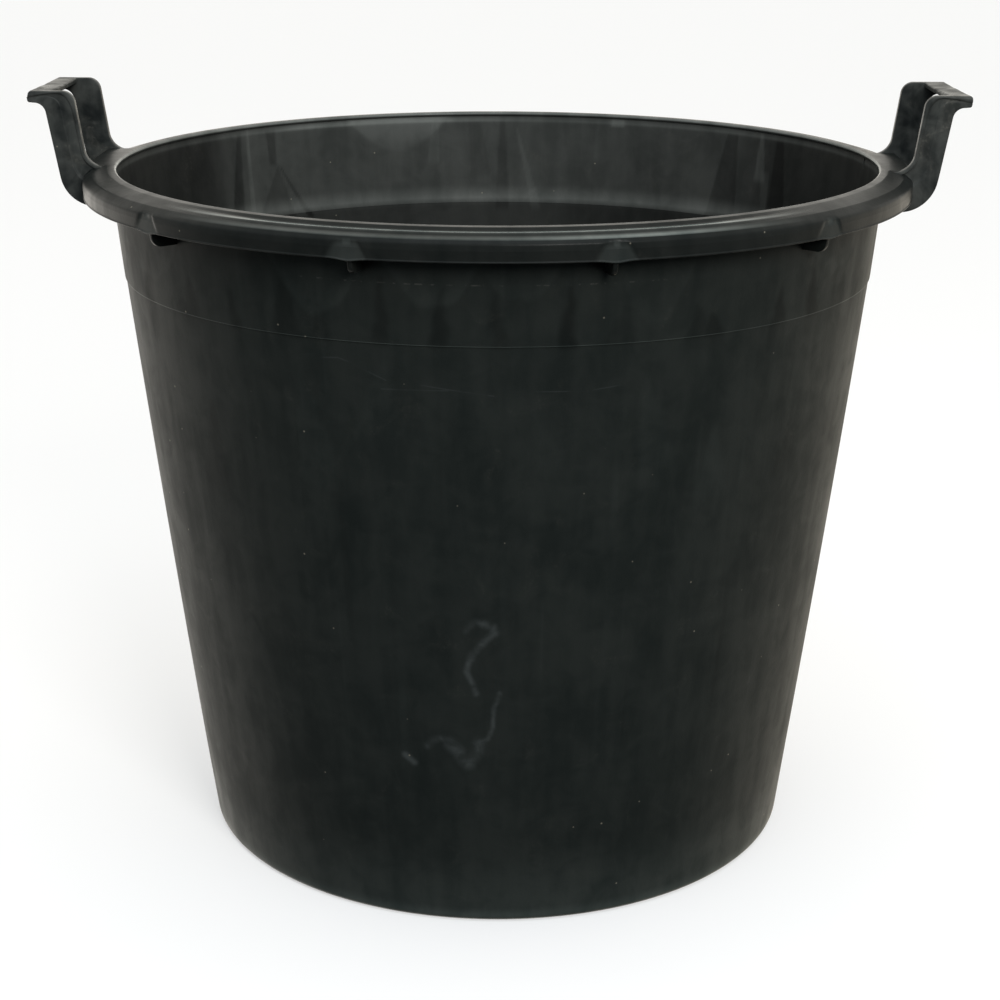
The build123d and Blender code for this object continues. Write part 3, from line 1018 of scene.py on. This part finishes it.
def stroke(tree, place, strokes):
    """How strongly a point lies on one of the strokes, from 0 to 1."""
    strongest = None
    for half_width, points in strokes:
        nearest = None
        for (u0, z0), (u1, z1) in zip(points, points[1:]):
            squared = (u1 - u0) ** 2 + (z1 - z0) ** 2
            offset = vector(tree, "SUBTRACT", place, (u0, z0, 0.0))
            slope = ((u1 - u0) / squared, (z1 - z0) / squared, 0.0)
            dot = vector(tree, "DOT_PRODUCT", offset, slope, result="Value")
            share = compute(tree, "ADD", dot, 0.0, clamp=True)
            along = scaled(tree, (u1 - u0, z1 - z0, 0.0), share)
            distance = vector(tree, "DISTANCE", offset, along, result="Value")
            nearest = distance if nearest is None else compute(tree, "MINIMUM", nearest, distance)
        on = ramp(tree, nearest, 0.0, half_width, 1.0, 0.0)
        strongest = on if strongest is None else compute(tree, "MAXIMUM", strongest, on)
    return strongest


def marks(tree, place, colour):
    """Scuffs, scratches and the dotted line of dried splashes on the front of the wall."""
    parts = add(tree, "ShaderNodeSeparateXYZ", {0: place}).outputs
    from_front = compute(tree, "ARCTAN2", parts[0], times(tree, parts[1], -1.0))
    u = times(tree, from_front, SCUFF_RADIUS)
    z = times(tree, parts[2], MILLIMETRES)
    flat = add(tree, "ShaderNodeCombineXYZ", {0: u, 1: z}).outputs[0]
    wobble = noise(tree, place, 110.0, 4.0)
    wobble = compute(tree, "MULTIPLY_ADD", wobble, SCUFF_WOBBLE, -SCUFF_WOBBLE / 2)
    u = compute(tree, "ADD", u, wobble)
    shaken_z = compute(tree, "MULTIPLY_ADD", wobble, -0.7, z)
    shaken = add(tree, "ShaderNodeCombineXYZ", {0: u, 1: shaken_z}).outputs[0]
    rubbed = compute(tree, "POWER", stroke(tree, shaken, SCUFFS), SCUFF_POWER)
    broken = ramp(tree, noise(tree, place, 70.0, 6.0, 0.8), 0.36, 0.64, 0.25, 1.0)
    scuffed = times(tree, rubbed, broken)
    broken = ramp(tree, noise(tree, place, 40.0), 0.42, 0.6)
    scratched = times(tree, stroke(tree, flat, SCRATCHES), broken)
    above = compute(tree, "ABSOLUTE", compute(tree, "SUBTRACT", z, SPLASH_HEIGHT))
    line = ramp(tree, above, 0.25, 0.6, 1.0, 0.0)
    dots = ramp(tree, noise(tree, place, 210.0, 4.0), 0.5, 0.66)
    at_front = ramp(tree, parts[1], *SPLASH_ENDS)
    splashed = times(tree, times(tree, line, dots), at_front)
    looks = ((scuffed, SCUFF_LOOK), (scratched, SCRATCH_LOOK), (splashed, SPLASH_LOOK))
    for on, (strength, mark_colour) in looks:
        colour = blend(tree, times(tree, on, strength), colour, mark_colour)
    return colour


# Darkest and lightest colours
WALL_COLOURS = ((0.0108, 0.0138, 0.0130, 1), (0.0190, 0.0222, 0.0206, 1))
RIM_COLOURS = ((0.0072, 0.0088, 0.0084, 1), (0.0140, 0.0155, 0.0145, 1))
HANDLE_COLOURS = ((0.009, 0.011, 0.011, 1), (0.056, 0.059, 0.055, 1))
# The inside's paler colours stand partly for dust and partly for painted light
INSIDE_DUST_AND_LIGHT_COLOURS = ((0.026, 0.028, 0.026, 1), (0.042, 0.044, 0.041, 1))
DUST_COLOUR = (0.22, 0.21, 0.18, 1)
SPECK_COLOUR = (0.26, 0.24, 0.19, 1)
MOTTLE = (0.36, 0.66)
TONE_GAIN = 0.55
TONE_SMOOTHER = 0.08
SPECKS_PER_METRE = 62.0
SPECK_SIZE = (0.025, 0.055)
BUMP_STRENGTH = 0.35
BUMP_DISTANCE = 0.0003


def plastic(name, colours, roughness, ior, toned=True, marked=False, patches=14.0, dust=0.05):
    """Black polyethylene. A toned one reads the stored tones and has a paler inside, partly dust and
    partly painted light.
    """
    material, tree, shader = new_material(name)
    place = add(tree, "ShaderNodeTexCoord").outputs["Object"]
    upright = add(tree, "ShaderNodeMapping", {"Vector": place, "Scale": (1.0, 1.0, 0.12)}).outputs[0]
    broad = noise(tree, place, patches, 5.0, 0.6)
    streaks = noise(tree, upright, 75.0, 4.0)
    grain = noise(tree, place, 900.0)
    speckle = noise(tree, place, 420.0, 4.0)
    fine = noise(tree, place, 52.0, 6.0, 1.0)
    mottle = compute(tree, "MULTIPLY_ADD", streaks, 0.34, times(tree, broad, 0.44))
    mottle = compute(tree, "MULTIPLY_ADD", fine, 0.26, mottle)
    factor = ramp(tree, mottle, *MOTTLE)
    colour = blend(tree, factor, *colours)
    smoothest, roughest = roughness
    rough = ramp(tree, mottle, *MOTTLE, roughest, smoothest)
    if marked:
        colour = marks(tree, place, colour)
    if toned:
        tone = add(tree, "ShaderNodeAttribute", attribute_name="tone").outputs["Fac"]
        within = add(tree, "ShaderNodeAttribute", attribute_name="within").outputs["Fac"]
        # A paler inside: partly dust, partly painted light
        colour = blend(tree, within, colour, blend(tree, factor, *INSIDE_DUST_AND_LIGHT_COLOURS))
        tone = compute(tree, "MULTIPLY_ADD", tone, TONE_GAIN, 1.0)
        colour = scaled(tree, colour, tone)
        rough = compute(tree, "ADD", rough, TONE_SMOOTHER)
        rough = compute(tree, "MULTIPLY_ADD", tone, -TONE_SMOOTHER, rough)
    dusty = ramp(tree, noise(tree, place, 33.0, 6.0, 1.2), 0.55, 0.8)
    dusty = times(tree, dusty, ramp(tree, speckle, 0.5, 0.7, 0.3, 1.0))
    colour = blend(tree, times(tree, dusty, dust), colour, DUST_COLOUR)
    inputs = {"Vector": place, "Scale": SPECKS_PER_METRE, "Randomness": 1.0}
    cells = add(tree, "ShaderNodeTexVoronoi", inputs).outputs
    draw = add(tree, "ShaderNodeSeparateXYZ", {0: cells["Color"]}).outputs[0]
    chosen = compute(tree, "GREATER_THAN", draw, 0.5)
    size = ramp(tree, cells["Distance"], *SPECK_SIZE, 1.0, 0.0)
    specks = times(tree, times(tree, chosen, size), 0.5)
    colour = blend(tree, specks, colour, SPECK_COLOUR)
    tree.links.new(colour, shader.inputs["Base Color"])
    tree.links.new(rough, shader.inputs["Roughness"])
    shader.inputs["IOR"].default_value = ior
    height = compute(tree, "MULTIPLY_ADD", speckle, 0.6, times(tree, grain, 0.4))
    inputs = {"Height": height, "Strength": BUMP_STRENGTH, "Distance": BUMP_DISTANCE}
    bump = add(tree, "ShaderNodeBump", inputs)
    tree.links.new(bump.outputs["Normal"], shader.inputs["Normal"])
    return material


wall_plastic = plastic("wall_plastic", WALL_COLOURS, (0.45, 0.55), 1.11, marked=True)
rim_plastic = plastic("rim_plastic", RIM_COLOURS, (0.27, 0.38), 1.14)
handle_plastic = plastic(
    "handle_plastic", HANDLE_COLOURS, (0.26, 0.46), 1.13, toned=False, patches=60.0, dust=0.32
)
for obj in tub_pieces:
    if obj.name in WALL_PIECES:
        obj.data.materials.append(wall_plastic)
    elif obj.name.startswith("handle"):
        obj.data.materials.append(handle_plastic)
    else:
        obj.data.materials.append(rim_plastic)


# --- Stage, light and camera ---

FLOOR_HALF = 30.0
PAPER = {
    "Base Color": (0.5, 0.5, 0.5, 1),
    "Roughness": 0.9,
    "IOR": 1.1,
    "Emission Color": (1, 1, 1, 1),
    "Emission Strength": 0.45,
}
LIGHT_TARGET = Vector((0.0, 0.0, 0.3))
# Radiance of the surroundings: behind the tub low on its left and right, and higher up; then in
# front of it, below and above the floor
BACK_LOW_LEFT = (2.05, 1.96, 1.8, 1)
BACK_LOW_RIGHT = (1.62, 1.5, 1.28, 1)
BACK_HIGH = (1.3, 1.25, 1.15, 1)
FRONT_BELOW = (0.03, 0.03, 0.03, 1)
FRONT_ABOVE = (0.68, 0.73, 0.78, 1)


def stage_floor():
    """Glowing paper, hidden from bounced and mirrored light so that it doesn't light the tub."""
    mesh = bpy.data.meshes.new("studio_floor")
    corners = [(x * FLOOR_HALF, y * FLOOR_HALF, 0) for x, y in ((-1, -1), (1, -1), (1, 1), (-1, 1))]
    mesh.from_pydata(corners, [], [(0, 1, 2, 3)])
    obj = placed("studio_floor", mesh)
    material, _, shader = new_material("studio_paper")
    for socket, value in PAPER.items():
        shader.inputs[socket].default_value = value
    mesh.materials.append(material)
    obj.visible_diffuse = False
    obj.visible_glossy = False


def area_light(name, azimuth, elevation, distance, width, height, radiance, colour):
    """A softbox aimed at the tub. Azimuth 0 is at -Y, in front of it, and 90 is at +X."""
    a, e = radians(azimuth), radians(elevation)
    data = bpy.data.lights.new(name, "AREA")
    data.shape = "RECTANGLE"
    data.size, data.size_y = width, height
    data.energy = radiance * pi * width * height
    data.color = colour
    obj = placed(name, data)
    obj.location = LIGHT_TARGET + distance * Vector((sin(a) * cos(e), -cos(a) * cos(e), sin(e)))
    obj.rotation_euler = (LIGHT_TARGET - obj.location).to_track_quat("-Z", "Y").to_euler()
    obj.visible_camera = False


def studio_world():
    """Bright warm paper behind the tub, brightest low down, and a dim cool room in front of it."""
    world = bpy.data.worlds.new("studio")
    world.use_nodes = True
    tree = world.node_tree
    direction = add(tree, "ShaderNodeTexCoord").outputs["Generated"]
    parts = add(tree, "ShaderNodeSeparateXYZ", {0: direction}).outputs
    behind = ramp(tree, parts[1], -0.25, 0.35)
    near_floor = blend(tree, ramp(tree, parts[0], -0.3, 0.3), BACK_LOW_LEFT, BACK_LOW_RIGHT)
    back = blend(tree, ramp(tree, parts[2], -0.04, 0.1), near_floor, BACK_HIGH)
    front = blend(tree, ramp(tree, parts[2], -0.04, 0.06), FRONT_BELOW, FRONT_ABOVE)
    colour = blend(tree, behind, front, back)
    tree.links.new(colour, tree.nodes["Background"].inputs["Color"])
    bpy.context.scene.world = world


stage_floor()
area_light("key", 20.0, 28.0, 2.6, 0.8, 0.9, 16.0, (1.0, 0.98, 0.94))
area_light("overhead", 0.0, 62.0, 2.2, 1.6, 0.9, 2.5, (0.85, 0.93, 1.0))
studio_world()
bpy.context.scene.view_settings.view_transform = "Standard"

# Metres, radians, and millimetres for the lens
CAMERA_DISTANCE = 1.4914
CAMERA_HEIGHT = 0.7217
CAMERA_DOWN = 0.31171
CAMERA_ROLL = 0.00186
CAMERA_TURN = radians(1.85)
CAMERA_LENS = 72.825
CAMERA_SHIFT = 0.0029

camera_data = bpy.data.cameras.new("camera")
camera_data.lens = CAMERA_LENS
camera_data.shift_x = CAMERA_SHIFT
camera = placed("camera", camera_data)
camera.location = (
    CAMERA_DISTANCE * sin(CAMERA_TURN),
    -CAMERA_DISTANCE * cos(CAMERA_TURN),
    CAMERA_HEIGHT,
)
facing = Euler((pi / 2 - CAMERA_DOWN, 0, CAMERA_TURN)).to_matrix()
camera.rotation_euler = (facing @ Matrix.Rotation(CAMERA_ROLL, 3, "Z")).to_euler()
bpy.context.scene.camera = camera

bpy.context.view_layer.update()
